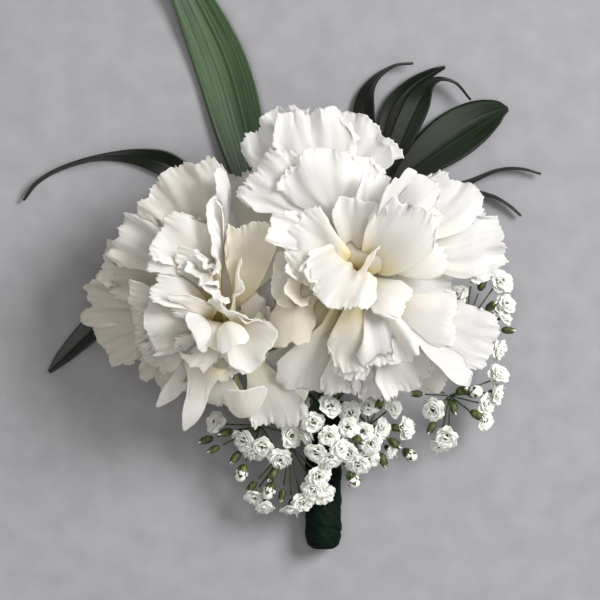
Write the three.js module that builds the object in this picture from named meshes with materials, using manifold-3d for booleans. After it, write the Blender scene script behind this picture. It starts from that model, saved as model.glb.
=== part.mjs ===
// Boutonniere: two white double carnations, ruscus leaves and baby's breath, bound with floral tape.
// Millimetres. It lies on its back: +Y runs from the taped end to the leaf tips, and +Z is up.
// Every place below is measured from one design origin. The whole is recentred at the end, so that
// its origin is the middle of the underside of its box.
import * as THREE from "three";
import * as BufferGeometryUtils from "three/addons/utils/BufferGeometryUtils.js";
import Module from "manifold-3d";

const wasm = await Module();
wasm.setup();

const group = new THREE.Group();
const seatGap = 0.3; // between pieces that touch

// ---------------------------------------------------------------- materials

function finish(color, roughness) {
  return new THREE.MeshStandardMaterial({ color, roughness, metalness: 0 });
}

const petalFinish = finish(0xf2f0ea, 0.75);
const calyxFinish = finish(0x5d7a4a, 0.6);
const flowerStemFinish = finish(0x6b8455, 0.6);
const leafFinish = finish(0x24402a, 0.4);
const leafStemFinish = finish(0x35552f, 0.5);
const sprigFinish = finish(0xe6eadb, 0.75);
const tapeFinish = finish(0x16342a, 0.65);
const wireFinish = new THREE.MeshStandardMaterial({ color: 0x2f4a36, roughness: 0.4, metalness: 0.6 });

// ---------------------------------------------------------------- solids

function addPiece(name, geometry, material) {
  const mesh = new THREE.Mesh(geometry, material);
  mesh.name = name;
  group.add(mesh);
}

function vec(point) {
  return new THREE.Vector3(point[0], point[1], point[2]);
}

function plainTriangles(geometry) {
  const bare = geometry.clone();
  bare.deleteAttribute("normal");
  bare.deleteAttribute("uv");
  return BufferGeometryUtils.mergeVertices(bare, 1e-4);
}

// A closed blade from a grid of points: both faces are offset from the middle surface.
function blade(rows, thickness) {
  const rowCount = rows.length;
  const columnCount = rows[0].length;
  const faces = [[], []];
  for (let i = 0; i < rowCount; i += 1) {
    for (let j = 0; j < columnCount; j += 1) {
      const along = rows[Math.min(i + 1, rowCount - 1)][j].clone().sub(rows[Math.max(i - 1, 0)][j]);
      const across = rows[i][Math.min(j + 1, columnCount - 1)].clone().sub(rows[i][Math.max(j - 1, 0)]);
      const offset = along.cross(across).normalize().multiplyScalar(thickness / 2);
      faces[0].push(rows[i][j].clone().add(offset));
      faces[1].push(rows[i][j].clone().sub(offset));
    }
  }
  const points = faces.flat();
  const far = rowCount * columnCount;
  const at = (i, j) => i * columnCount + j;
  const index = [];
  const quad = (a, b, c, d) => index.push(a, b, c, a, c, d);
  for (let i = 0; i + 1 < rowCount; i += 1) {
    for (let j = 0; j + 1 < columnCount; j += 1) {
      quad(at(i, j), at(i + 1, j), at(i + 1, j + 1), at(i, j + 1));
      quad(far + at(i, j), far + at(i, j + 1), far + at(i + 1, j + 1), far + at(i + 1, j));
    }
  }
  const rim = [];
  for (let j = 0; j + 1 < columnCount; j += 1) rim.push(at(0, j));
  for (let i = 0; i + 1 < rowCount; i += 1) rim.push(at(i, columnCount - 1));
  for (let j = columnCount - 1; j > 0; j -= 1) rim.push(at(rowCount - 1, j));
  for (let i = rowCount - 1; i > 0; i -= 1) rim.push(at(i, 0));
  rim.forEach((a, k) => {
    const b = rim[(k + 1) % rim.length];
    quad(a, b, far + b, far + a);
  });
  const geometry = new THREE.BufferGeometry().setFromPoints(points);
  geometry.setIndex(index);
  return facingOut(geometry);
}

function facingOut(geometry) {
  const position = geometry.getAttribute("position");
  const index = geometry.getIndex().array;
  const [a, b, c] = [new THREE.Vector3(), new THREE.Vector3(), new THREE.Vector3()];
  let volume = 0;
  for (let k = 0; k < index.length; k += 3) {
    a.fromBufferAttribute(position, index[k]);
    b.fromBufferAttribute(position, index[k + 1]);
    c.fromBufferAttribute(position, index[k + 2]);
    volume += a.dot(b.cross(c));
  }
  if (volume < 0) {
    geometry.setIndex(Array.from(index).reverse());
  }
  geometry.computeVertexNormals();
  return geometry;
}

function round(radius, sides) {
  const points = [];
  for (let k = 0; k < sides; k += 1) {
    const turn = (2 * Math.PI * k) / sides;
    points.push(new THREE.Vector2(radius * Math.cos(turn), radius * Math.sin(turn)));
  }
  return new THREE.Shape(points);
}

function rod(points, radius, sides, steps) {
  const path = new THREE.CatmullRomCurve3(points.map(vec), false, "centripetal");
  return new THREE.ExtrudeGeometry(round(radius, sides), { steps, bevelEnabled: false, extrudePath: path });
}

function toSolid(geometry) {
  const plain = plainTriangles(geometry);
  return new wasm.Manifold(new wasm.Mesh({
    numProp: 3,
    vertProperties: new Float32Array(plain.getAttribute("position").array),
    triVerts: new Uint32Array(plain.getIndex().array),
  }));
}

function toGeometry(solid) {
  const mesh = solid.getMesh();
  const geometry = new THREE.BufferGeometry();
  geometry.setAttribute("position", new THREE.BufferAttribute(mesh.vertProperties, 3));
  geometry.setIndex(new THREE.BufferAttribute(mesh.triVerts, 1));
  geometry.computeVertexNormals();
  return geometry;
}

function smoothStep(low, high, x) {
  const t = Math.min(1, Math.max(0, (x - low) / (high - low)));
  return t * t * (3 - 2 * t);
}

// ---------------------------------------------------------------- floral tape

const tape = { x: 4.8, z: 3.8, topY: -24, endY: -51.4, radius: 3.8, wall: 0.8, sides: 16 };
const stemEndY = tape.endY + tape.wall + seatGap;

function tapeSleeve() {
  const inner = tape.radius - tape.wall;
  const profile = [
    [0, tape.endY], [2.4, tape.endY + 0.2], [3.4, tape.endY + 1], [tape.radius, tape.endY + 2.8],
    [tape.radius, tape.topY - 9], [tape.radius * 0.97, tape.topY - 2], [inner + 0.3, tape.topY],
    [inner, tape.topY], [inner, tape.endY + tape.wall], [0, tape.endY + tape.wall],
  ];
  const points = profile.map(([r, y]) => new THREE.Vector2(r, y));
  const sleeve = facingOut(plainTriangles(new THREE.LatheGeometry(points, tape.sides)));
  return sleeve.translate(tape.x, 0, tape.z);
}

// The straight run of a stem or wire inside the tape, at one place of its cross-section.
function runInTape(x, z) {
  const stations = [stemEndY, (stemEndY + tape.topY) / 2, tape.topY - 4, tape.topY, tape.topY + 0.8];
  return stations.map((y) => [x, y, z]);
}

addPiece("floral_tape", tapeSleeve(), tapeFinish);

// ---------------------------------------------------------------- carnations

const calyx = { length: 18, cupDepth: 10, mouthRadius: 4.8, innerRadius: 4.0, baseRadius: 1.7 };
const flowerStem = { radius: 1.25, offset: 1.45, sides: 8 };
const wire = { radius: 0.27, sides: 6 };
const petalThickness = 0.4;
const petalColumns = 6;
const limbRows = 6;
const clawSpread = 4; // within this distance of its axis a bloom is round

// Whorls from the middle outwards. A profile is a line of [distance from the axis, height] over the
// calyx mouth, and no profile crosses the next, so petals of two whorls never meet.
const whorls = [
  { name: "heart", clawRadius: 1.0, profile: [[2.4, 7], [5.5, 14], [9.5, 18.5]] },
  { name: "inner", clawRadius: 1.85, profile: [[4.8, 5.5], [11, 11.5], [18.5, 15.5]] },
  { name: "middle", clawRadius: 2.7, profile: [[7, 4], [15.5, 7.5], [25, 9]] },
  { name: "guard", clawRadius: 3.55, profile: [[8.5, 1.6], [17, 2.4], [27.5, 0.8]] },
];

// Turns count clockwise from the top of the bloom, as seen from above it.
// reach: how far the petals spread in each direction, against the whorl profiles.
const blooms = [
  {
    name: "right",
    mouth: [10.5, 4.5, 22],
    lean: 30,
    heading: 10,
    side: 1,
    reach: [
      { turn: 0, width: 75, gain: 0.42 }, { turn: 100, width: 65, gain: 0.22 },
      { turn: 185, width: 60, gain: 0.12 }, { turn: 258, width: 62, gain: -0.5 },
      { turn: 318, width: 36, gain: 0.26 },
    ],
    petals: { heart: [3, 20], inner: [4, 40], middle: [4, 5], guard: [5, 36] },
    stem: [[6.5, -21, 3.4], [7.2, -16, 2.4], [8.2, -10.4, 2.3], [8.6, -6.8, 3.9]],
  },
  {
    name: "left",
    mouth: [-14.5, -5, 22],
    lean: 34,
    heading: -42,
    side: -1,
    reach: [
      { turn: 352, width: 70, gain: 0.45 }, { turn: 40, width: 40, gain: 0.3 },
      { turn: 115, width: 90, gain: -0.74 }, { turn: 262, width: 50, gain: -0.22 },
    ],
    petals: { heart: [3, 70], inner: [4, 0], middle: [4, 45], guard: [4, 10] },
    stem: [[2.6, -21.6, 3.4], [-1.0, -18.8, 2.6], [-4.4, -16.1, 2.9], [-6.7, -13.9, 4.6]],
  },
];

function bloomAxes(bloom) {
  const lean = THREE.MathUtils.degToRad(bloom.lean);
  const heading = THREE.MathUtils.degToRad(bloom.heading);
  const axis = vec([Math.sin(lean) * Math.sin(heading), Math.sin(lean) * Math.cos(heading), Math.cos(lean)]);
  const top = vec([Math.cos(lean) * Math.sin(heading), Math.cos(lean) * Math.cos(heading), -Math.sin(lean)]);
  return { axis, top, right: top.clone().cross(axis), mouth: vec(bloom.mouth) };
}

function reachAt(bloom, turn) {
  let gain = 1;
  for (const lobe of bloom.reach) {
    const away = Math.abs(((turn - lobe.turn + 540) % 360) - 180);
    gain += lobe.gain * (1 - smoothStep(0, lobe.width, away));
  }
  return gain;
}

// A point of the bloom from its turn (degrees), its distance from the axis and its height.
function bloomPoint(bloom, axes, turn, radius, height) {
  const spread = Math.min(radius, clawSpread) + Math.max(0, radius - clawSpread) * reachAt(bloom, turn);
  const angle = THREE.MathUtils.degToRad(turn);
  return axes.mouth.clone()
    .addScaledVector(axes.top, spread * Math.cos(angle))
    .addScaledVector(axes.right, spread * Math.sin(angle))
    .addScaledVector(axes.axis, height);
}

function petal(bloom, whorl, middleTurn, sector) {
  const axes = bloomAxes(bloom);
  const clawEnd = -calyx.cupDepth + 0.6;
  const line = [[whorl.clawRadius, -1], [whorl.clawRadius * 1.15, 1], ...whorl.profile];
  const profile = new THREE.SplineCurve(line.map(([r, h]) => new THREE.Vector2(r, h)));
  const stations = [{ radius: whorl.clawRadius, height: clawEnd, share: 0.5 }];
  for (let i = 0; i <= limbRows; i += 1) {
    const t = i / limbRows;
    const point = profile.getPoint(t);
    stations.push({ radius: point.x, height: point.y, share: 0.5 + 0.42 * smoothStep(0, 0.55, t), t });
  }
  const rows = stations.map(({ radius, height, share, t = 0 }) => {
    const row = [];
    for (let j = 0; j < petalColumns; j += 1) {
      const u = (2 * j) / (petalColumns - 1) - 1;
      const turn = middleTurn + (u * share * sector) / 2;
      const margin = smoothStep(0.3, 1, t);
      const corner = 1 - 0.12 * margin * u * u;
      const ruffle = margin * reachAt(bloom, turn) * (j % 2 === 0 ? 0.7 : -0.7);
      row.push(bloomPoint(bloom, axes, turn, radius * corner, height + ruffle));
    }
    return row;
  });
  return blade(rows, petalThickness);
}

function calyxTube() {
  const { length, cupDepth, mouthRadius, innerRadius, baseRadius } = calyx;
  const profile = [
    [0, -length], [baseRadius, -length], [2.6, -length + 1.2], [4.0, -length + 4.5], [4.7, -length + 9.5],
    [mouthRadius + 0.15, -3], [mouthRadius - 0.1, 0], [innerRadius, 0], [innerRadius, -cupDepth],
    [0, -cupDepth],
  ];
  const points = profile.map(([r, y]) => new THREE.Vector2(r, y));
  return facingOut(plainTriangles(new THREE.LatheGeometry(points, 14)));
}

function stemPoints(bloom) {
  const { mouth, axis } = bloomAxes(bloom);
  const end = mouth.addScaledVector(axis, -calyx.length - 2 * seatGap).toArray();
  return [...runInTape(tape.x + bloom.side * flowerStem.offset, tape.z), ...bloom.stem, end];
}

for (const bloom of blooms) {
  const axes = bloomAxes(bloom);
  const placed = new THREE.Matrix4().makeBasis(axes.right, axes.axis, axes.top.clone().negate());
  placed.setPosition(axes.mouth);
  addPiece(`calyx_${bloom.name}`, calyxTube().applyMatrix4(placed), calyxFinish);
  const stem = rod(stemPoints(bloom), flowerStem.radius, flowerStem.sides, 14);
  addPiece(`flower_stem_${bloom.name}`, stem, flowerStemFinish);
  for (const whorl of whorls) {
    const [count, firstTurn] = bloom.petals[whorl.name];
    for (let k = 0; k < count; k += 1) {
      const sector = 360 / count;
      const name = `petal_${bloom.name}_${whorl.name}_${k + 1}`;
      addPiece(name, petal(bloom, whorl, firstTurn + k * sector, sector), petalFinish);
    }
  }
}

// A florist's wire lies along each flower stem, under the tape, and stiffens the neck up to the calyx.
const wireRoutes = {
  right: { rise: 1.15, route: [[5.8, -21, 5.1], [7.0, -16, 4.2], [7.9, -11, 4.2], [7.6, -8.2, 5.4]] },
  left: { rise: -1.1, route: [[3.2, -20.6, 2.2], [0.2, -17.9, 1.4], [-3.2, -15.0, 1.5], [-5.2, -13.1, 3.2]] },
};

for (const [name, { rise, route }] of Object.entries(wireRoutes)) {
  const points = [...runInTape(tape.x, tape.z + rise), ...route];
  addPiece(`florist_wire_${name}`, rod(points, wire.radius, wire.sides, 14), wireFinish);
}

// ---------------------------------------------------------------- ruscus

const ruscusStem = { radius: 0.4, sides: 6, steps: 24, z: 1.75 };

// Each cut stem starts in the tape and runs under the blooms.
const ruscusStems = {
  left: {
    offset: -1.1,
    route: [[1.6, -20, 0.7], [-6, -13, 0.6], [-13, -2, 0.9], [-17.5, 12, 1.2], [-18.5, 17, 1.3]],
  },
  top: {
    offset: 0,
    route: [[4.2, -20, 1.5], [1.2, -12, 0.8], [-4, 0, 1.4], [-6.6, 8.5, 1.8]],
  },
  right: {
    offset: 1.1,
    route: [[7.6, -20, 1.3], [13.2, -8, 1.0], [16.2, 6, 1.4], [17.6, 18, 1.6], [18, 24.5, 1.6]],
  },
};

for (const [name, stem] of Object.entries(ruscusStems)) {
  const points = [...runInTape(tape.x + stem.offset, ruscusStem.z), ...stem.route];
  const { radius, sides, steps } = ruscusStem;
  addPiece(`ruscus_stem_${name}`, rod(points, radius, sides, steps), leafStemFinish);
}

// Each leaf: points along its midrib from base to tip, as [x, y, z, half its width there, roll].
// Roll turns the blade about its midrib: 0 lies flat, 90 stands on edge.
const leafShape = { thickness: 0.45, fold: 0.16, rows: 10 };
const leaves = {
  top: [
    [-6.9, 9.4, 1.9, 0.6, 0], [-8.5, 18.3, 2.3, 2.6, 0], [-12, 34.1, 1.2, 5.2, 4],
    [-16.1, 48.6, 0.9, 5.7, 6], [-22.2, 62, 2.2, 4.2, 4], [-27.9, 71.9, 4.4, 2, 0],
    [-31.4, 77.5, 6.2, 0.4, 0],
  ],
  left: [
    [-18.9, 17.9, 1.4, 0.5, 0], [-22.0, 24.2, 0.7, 1.8, 2], [-27.2, 28.0, 1.2, 2.6, 12],
    [-33.6, 29.8, 2.6, 2.4, 50], [-42, 29.6, 2.5, 2.0, 78], [-49.4, 27.4, 2.0, 1.4, 80],
    [-54.4, 24.4, 1.7, 0.9, 76], [-57.2, 20.6, 1.4, 0.3, 70],
  ],
  lower_left: [
    [-18.1, 12.4, 0.9, 0.5, 0], [-24.4, 7.7, 0.9, 1.6, 0], [-33.1, 2.5, 0.8, 2.4, 0],
    [-42.4, -5.4, 0.75, 2.5, -8], [-48.6, -11.4, 0.9, 1.6, -8], [-51.9, -14.9, 1.2, 0.4, 0],
  ],
  upper_narrow: [
    [17.1, 24.6, 1.6, 0.4, 0], [13.2, 30.9, 1.9, 1.4, 20], [12.2, 39.7, 2.4, 1.8, 60],
    [14.9, 44.9, 2.6, 1.7, 75], [19.4, 48.2, 2.6, 1.2, 80], [23.4, 48.9, 2.6, 0.35, 80],
  ],
  upper_middle: [
    [17.9, 25.6, 1.4, 0.4, 0], [17.3, 32.1, 1, 1.6, -4], [19.2, 39.5, 1, 2.1, -8],
    [22.7, 44, 1.3, 1.7, -20], [26.9, 46.9, 1.6, 1.1, -40], [30, 48.2, 1.6, 0.35, -50],
  ],
  upper_hooked: [
    [18.2, 25.2, 2.6, 0.4, 0], [20.5, 31.9, 3.7, 2.3, 6], [24, 39.7, 4.2, 2.7, 14],
    [27.3, 44.7, 4.4, 1.7, 60], [31.6, 44.9, 4.2, 1.3, 85], [35.2, 41.3, 3.6, 0.35, 85],
  ],
  broad: [
    [19, 23.8, 1.6, 0.5, 0], [24, 28.1, 1.5, 3.4, 4], [30.6, 33.1, 1.6, 5, 8],
    [36.2, 36.6, 1.8, 4.6, 14], [40.5, 38.7, 2.4, 2.9, 24], [43, 39.4, 2.8, 0.5, 30],
  ],
  right_upper: [
    [18.5, 18, 1.7, 0.4, 0], [24.9, 21, 1.9, 1.1, 30], [34.1, 23.8, 1.8, 1.7, 70],
    [40.8, 26.7, 1.8, 1.3, 82], [45.5, 27.1, 1.8, 0.9, 82], [49.8, 26.1, 1.7, 0.3, 80],
  ],
  right_lower: [
    [18, 12.6, 1.4, 0.4, 0], [25.4, 17.3, 1.4, 1.1, 30], [34.1, 21.7, 1.6, 1.5, 66],
    [39.3, 21.5, 1.7, 1.1, 76], [43, 19.6, 1.7, 0.8, 76], [45.7, 17.4, 1.6, 0.3, 70],
  ],
};

function leafBlade(points) {
  const midrib = new THREE.CatmullRomCurve3(points.map(vec), false, "centripetal");
  const rows = [];
  for (let i = 0; i <= leafShape.rows; i += 1) {
    const t = i / leafShape.rows;
    const place = midrib.getPoint(t);
    const along = midrib.getTangent(t);
    const span = t * (points.length - 1);
    const k = Math.min(points.length - 2, Math.floor(span));
    const mix = span - k;
    const halfWidth = THREE.MathUtils.lerp(points[k][3], points[k + 1][3], mix);
    const roll = THREE.MathUtils.degToRad(THREE.MathUtils.lerp(points[k][4], points[k + 1][4], mix));
    const level = along.clone().cross(new THREE.Vector3(0, 0, 1)).normalize();
    const raised = level.clone().cross(along).normalize();
    const across = level.multiplyScalar(Math.cos(roll)).addScaledVector(raised, Math.sin(roll));
    const face = across.clone().cross(along).normalize();
    rows.push([-1, 0, 1].map((u) => place.clone()
      .addScaledVector(across, u * halfWidth)
      .addScaledVector(face, Math.abs(u) * halfWidth * leafShape.fold)));
  }
  return blade(rows, leafShape.thickness);
}

for (const [name, points] of Object.entries(leaves)) {
  addPiece(`leaf_${name}`, leafBlade(points), leafFinish);
}

// ---------------------------------------------------------------- baby's breath

const sprigStem = { radius: 0.25, sides: 5, ringRadius: 2.4, ringStep: 18 };
const twig = { radius: 0.25, sides: 4, steps: 2, lift: 1.2 };
const flowerSize = { floret: [2.3, 1.5], bud: [1.7, 1.5], calyx: [1.0, 1.0] };

// A sprig's stem leaves the tape and ends at its last fork. Each flower is [x, y, z] and grows from
// the fork that it is listed under.
const sprigs = [
  {
    stem: [[1.6, -21.6, 7.2], [-3.6, -22.8, 9.4], [-8, -25.5, 10.6]],
    forks: [{
      at: [-8, -25.5, 10.6],
      floret: [[-17.1, -24.4, 11], [-11.8, -29, 9.5], [-12.6, -20.6, 12.5]],
      bud: [[-7.4, -29.4, 11.5], [-12.8, -34.8, 8.5]],
      calyx: [[-14.8, -27.2, 9.5], [-17.2, -30.8, 9]],
    }],
  },
  {
    stem: [[3.2, -21.4, 8.2], [1.8, -22.6, 10.6], [-2.2, -29.5, 11]],
    forks: [{
      at: [-2.2, -29.5, 11],
      floret: [[-10.6, -40.2, 8], [-7.4, -41.4, 10.5], [-1.4, -41.2, 9], [1.4, -39.8, 12], [3.8, -37, 10.5]],
      bud: [[-6, -38.2, 8.5], [-3.8, -40.2, 11]],
      calyx: [[-3.6, -33, 12]],
    }],
  },
  {
    stem: [[4.8, -20.4, 8.6], [4.8, -20.6, 13.4], [3.8, -24.4, 15.6]],
    forks: [{
      at: [3.8, -24.4, 15.6],
      floret: [
        [-4, -28, 15.8], [-0.4, -25.8, 17], [2.4, -22.2, 18.4], [5.6, -22, 17.4], [5.6, -28, 17],
        [5.6, -31.2, 15], [1.2, -30, 15.4],
      ],
      bud: [[-1.4, -21.6, 17.2]],
      calyx: [[9.6, -22.2, 17.6]],
    }],
  },
  {
    stem: [[7.2, -20.6, 8.2], [10.5, -22, 10.8], [14, -25.5, 11.6]],
    forks: [{
      at: [14, -25.5, 11.6],
      floret: [
        [10.2, -25, 12.8], [13, -28.8, 12.8], [16.2, -24.8, 13.4], [18.8, -33, 10], [19.6, -21.6, 13],
        [10.4, -35.4, 11.6], [10.6, -31, 11.4],
      ],
      bud: [[20.6, -25, 11.5], [20.8, -30.4, 10.5]],
      calyx: [[19, -26.8, 13], [17.2, -30.8, 12.6], [16.4, -21.4, 13.4]],
    }],
  },
  {
    stem: [[9.4, -18.6, 6.8], [17, -14, 8.6], [26, -17.5, 9.6], [30.5, -19.5, 9.8]],
    forks: [
      {
        at: [30.5, -19.5, 9.8],
        floret: [
          [27.6, -20.8, 11.6], [29, -26.8, 9.6], [28.6, -29.8, 8.2], [36.6, -24.6, 9.4], [37.6, -20.8, 10],
        ],
        bud: [[34.4, -18.2, 11.6], [38.4, -15.4, 11]],
        calyx: [[26.8, -26.2, 9.8], [31.6, -17.6, 11], [31.2, -22, 11], [34.6, -22.4, 11]],
      },
      {
        at: [33.6, -5.5, 9.4],
        floret: [[31.6, 1.2, 11], [38.2, -0.8, 10.5], [40.2, 2.8, 9.2], [41.0, -1.6, 8.6]],
        bud: [[34.6, -1.4, 11]],
        calyx: [[37, 3.2, 10.4], [39.2, -3, 10.8], [41.4, -6, 8.8]],
      },
    ],
  },
];

function flower(kind, place) {
  const [radius, height] = flowerSize[kind];
  const shape = new THREE.IcosahedronGeometry(1, 0).scale(radius, radius, height);
  return toSolid(shape.translate(place[0], place[1], place[2]));
}

function branch(from, to) {
  const middle = vec(from).lerp(vec(to), 0.5);
  middle.z += twig.lift;
  const path = new THREE.QuadraticBezierCurve3(vec(from), middle, vec(to));
  const options = { steps: twig.steps, bevelEnabled: false, extrudePath: path };
  return toSolid(new THREE.ExtrudeGeometry(round(twig.radius, twig.sides), options));
}

function sprigSolid(sprig, place) {
  const angle = THREE.MathUtils.degToRad((place - (sprigs.length - 1) / 2) * sprigStem.ringStep);
  const x = tape.x + sprigStem.ringRadius * Math.sin(angle);
  const z = tape.z + sprigStem.ringRadius * Math.cos(angle);
  const points = [...runInTape(x, z), ...sprig.stem];
  let solid = toSolid(rod(points, sprigStem.radius, sprigStem.sides, 14));
  sprig.forks.forEach((fork, k) => {
    if (k > 0) {
      solid = solid.add(branch(sprig.stem.at(-3), fork.at));
    }
    for (const kind of Object.keys(flowerSize)) {
      for (const end of fork[kind]) {
        solid = solid.add(branch(fork.at, end)).add(flower(kind, end));
      }
    }
  });
  return toGeometry(solid);
}

sprigs.forEach((sprig, k) => {
  addPiece(`babys_breath_${k + 1}`, sprigSolid(sprig, k), sprigFinish);
});

// ---------------------------------------------------------------- recentre

const box = new THREE.Box3().setFromObject(group);
const middle = box.getCenter(new THREE.Vector3());
group.position.set(-middle.x, -middle.y, -box.min.z);

export default group;
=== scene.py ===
import math
from functools import partial

import bpy
import numpy as np
from mathutils import Matrix, Vector


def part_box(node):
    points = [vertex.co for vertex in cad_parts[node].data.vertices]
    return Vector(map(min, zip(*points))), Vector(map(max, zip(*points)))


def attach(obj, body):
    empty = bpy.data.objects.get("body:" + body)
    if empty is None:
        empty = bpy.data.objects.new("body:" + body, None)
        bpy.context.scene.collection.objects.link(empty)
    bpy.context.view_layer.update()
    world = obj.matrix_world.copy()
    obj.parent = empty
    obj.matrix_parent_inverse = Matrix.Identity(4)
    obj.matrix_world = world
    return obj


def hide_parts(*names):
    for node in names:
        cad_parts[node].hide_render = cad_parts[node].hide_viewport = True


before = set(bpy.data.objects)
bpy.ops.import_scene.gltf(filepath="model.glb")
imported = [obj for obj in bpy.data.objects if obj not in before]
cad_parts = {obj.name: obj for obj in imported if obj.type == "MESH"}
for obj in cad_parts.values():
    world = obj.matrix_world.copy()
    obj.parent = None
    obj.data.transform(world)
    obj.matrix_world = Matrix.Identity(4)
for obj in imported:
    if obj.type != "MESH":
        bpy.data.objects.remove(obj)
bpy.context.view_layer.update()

# A boutonniere of two white double carnations, ruscus leaves and baby's breath, bound with floral tape.
# Places are millimetres from the maker's origin, which the frame puts at the tape: x across, y up the
# flower from the taped end, z up from the table.

mm = 0.001
weldDistance = {"piece": 0.00001, "cup": 0.000004, "sprig": 0.000002}  # metres
tapeShape = {"x": 4.8, "z": 3.8, "topY": -24.0, "endY": -51.4, "radius": 3.55, "thickness": 0.25,
             "pitch": 5.2, "ridge": 0.22, "creases": [0.06, 0.05], "sides": 56, "rings": 120}

tapeLow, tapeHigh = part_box("floral_tape")
makersOrigin = np.array([
    (tapeLow.x + tapeHigh.x) / 2 - tapeShape["x"] * mm,
    tapeLow.y - tapeShape["endY"] * mm,
    tapeLow.z,
])


def place(points):
    return np.asarray(points, float) * mm + makersOrigin


def unit(vector):
    vector = np.asarray(vector, float)
    return vector / np.linalg.norm(vector, axis=-1, keepdims=True)


def smoothStep(low, high, x):
    t = np.clip((x - low) / (high - low), 0, 1)
    return t * t * (3 - 2 * t)


# A sheet's rows run from 0 to 1, and the columns of a tube once round.
def downRows(rows):
    return np.linspace(0, 1, rows)[:, None]


def aroundTurn(columns):
    return np.linspace(0, 2 * math.pi, columns)[None, :]


def newObject(name, data):
    obj = bpy.data.objects.new(name, data)
    bpy.context.scene.collection.objects.link(obj)
    return obj


def selectOnly(obj):
    bpy.ops.object.select_all(action="DESELECT")
    bpy.context.view_layer.objects.active = obj
    obj.select_set(True)


def applyModifier(obj, kind, **settings):
    selectOnly(obj)
    modifier = obj.modifiers.new(kind.title(), kind)
    for key, value in settings.items():
        setattr(modifier, key, value)
    bpy.ops.object.modifier_apply(modifier=modifier.name)


# A sheet of points, rows by columns, as a grid with its own UV map: U across, V along.
def sheetFromPoints(name, points, values=None):
    rows, columns = points.shape[:2]
    bpy.ops.object.select_all(action="DESELECT")
    bpy.ops.mesh.primitive_grid_add(x_subdivisions=columns - 1, y_subdivisions=rows - 1, size=mm)
    obj = bpy.context.object
    obj.name = name
    obj.data.vertices.foreach_set("co", points.reshape(-1).astype(np.float32))
    for key, value in (values or {}).items():
        everyPoint = np.broadcast_to(value, (rows, columns)).reshape(-1).astype(np.float32)
        obj.data.attributes.new(key, "FLOAT", "POINT").data.foreach_set("value", everyPoint)
    obj.data.update()
    return obj


def joinPieces(parts, name):
    selectOnly(parts[0])
    for part in parts:
        part.select_set(True)
    if len(parts) > 1:
        bpy.ops.object.join()
    parts[0].name = name
    parts[0].data.name = name
    return parts[0]


def mergeDoubles(obj, distance):
    selectOnly(obj)
    bpy.ops.object.mode_set(mode="EDIT")
    bpy.ops.mesh.select_all(action="SELECT")
    bpy.ops.mesh.remove_doubles(threshold=distance)
    bpy.ops.mesh.normals_make_consistent(inside=False)
    bpy.ops.object.mode_set(mode="OBJECT")


def setMaterial(obj, material):
    obj.data.materials.clear()
    obj.data.materials.append(material)


def finishPiece(obj, nodes, material=None):
    if material:
        setMaterial(obj, material)
    selectOnly(obj)
    bpy.ops.object.shade_smooth()
    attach(obj, "root")
    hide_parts(*nodes)


# Materials: colours are sRGB hex, and the sizes of a sheet and of its patterns' waves are millimetres.
def hexColor(code):
    channels = [int(code[i:i + 2], 16) / 255 for i in (1, 3, 5)]
    linear = [c / 12.92 if c <= 0.04045 else ((c + 0.055) / 1.055) ** 2.4 for c in channels]
    return (*linear, 1.0)


def setInputs(node, values):
    for key, value in values.items():
        node.inputs[key].default_value = value


def newMaterial(name, finish):
    material = bpy.data.materials.new(name)
    material.use_nodes = True
    shader = material.node_tree.nodes["Principled BSDF"]
    setInputs(shader, finish)
    return material, shader, partial(addNode, material.node_tree)


# A link's source is a socket, or a node whose first output is meant.
def linkInputs(node, links):
    for key, source in links.items():
        socket = source.outputs[0] if isinstance(source, bpy.types.Node) else source
        node.id_data.links.new(socket, node.inputs[key])


def addNode(tree, kind, settings=None, inputs=None, links=None, stops=()):
    node = tree.nodes.new("ShaderNode" + kind)
    for key, value in (settings or {}).items():
        setattr(node, key, value)
    setInputs(node, inputs or {})
    while stops and len(node.color_ramp.elements) < len(stops):
        node.color_ramp.elements.new(0.5)
    for k, (position, color) in enumerate(stops):
        node.color_ramp.elements[k].position = position
        node.color_ramp.elements[k].color = hexColor(color)
    linkInputs(node, links or {})
    return node


# How many waves of a pattern fit in a whole: a metre on Object coordinates, or the sheet on a UV map.
def waveScale(waves, whole=(1000, 1000, 1000)):
    return [total / wave for total, wave in zip(whole, waves)]


# Carnation petal: thin, soft and matt, milky white, yellow-green at its claw, with fine veins that fan out,
# and a painted warm shade: a beige mixed into the white of petals that lie in shade.
petalLook = {"size": (23, 26.4, 1), "veins": (0.5, 12, 1), "veinDepth": 0.2, "mottle": (6.25, 6.25, 6.25),
             "mottleDepth": 0.3}
petalFinish = {"Roughness": 0.62, "IOR": 1.4, "Specular IOR Level": 0.35, "Subsurface Weight": 0.8,
               "Subsurface Radius": (1.0, 1.0, 0.96), "Subsurface Scale": 0.002,
               "Sheen Weight": 0.12, "Sheen Roughness": 0.5}


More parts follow.
